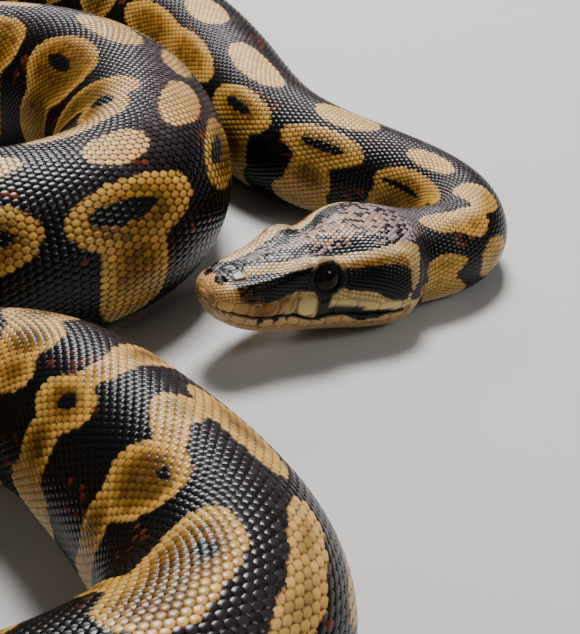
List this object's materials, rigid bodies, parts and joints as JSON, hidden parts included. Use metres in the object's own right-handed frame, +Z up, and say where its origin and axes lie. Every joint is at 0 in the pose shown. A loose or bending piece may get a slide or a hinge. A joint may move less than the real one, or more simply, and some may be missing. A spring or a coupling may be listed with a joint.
{
  "type": "coiled ball python model",
  "caption": "Still life-size model of a ball python at rest in loose loops, head raised a little at the end of a slim neck, belly flat on the floor.",
  "frame": {"origin": "on the floor, below the middle of the whole coiled animal's bounding box", "axes": "+Z up from the floor, +X to the side that the neck loop lies on, +Y away from the side that the head and the near loop face"},
  "size_m": [0.2068, 0.3531, 0.039],
  "materials": {
    "head_skin": "small smooth scales, greyish brown with a tan stripe on each side",
    "jaw_skin": "smooth lip and chin scales, peach to cream",
    "body_skin": "satin overlapping scales, near-black with tan keyhole blotches and a cream belly",
    "eye": "polished black"
  },
  "bodies": {
    "root": {"head": "head_skin", "lower_jaw": "jaw_skin", "eye_left": "eye", "eye_right": "eye", "neck": "body_skin", "trunk_1": "body_skin", "trunk_2": "body_skin", "trunk_3": "body_skin", "trunk_4": "body_skin", "trunk_5": "body_skin", "trunk_6": "body_skin", "trunk_7": "body_skin", "trunk_8": "body_skin", "trunk_9": "body_skin", "tail": "body_skin"}
  },
  "joints": []
}
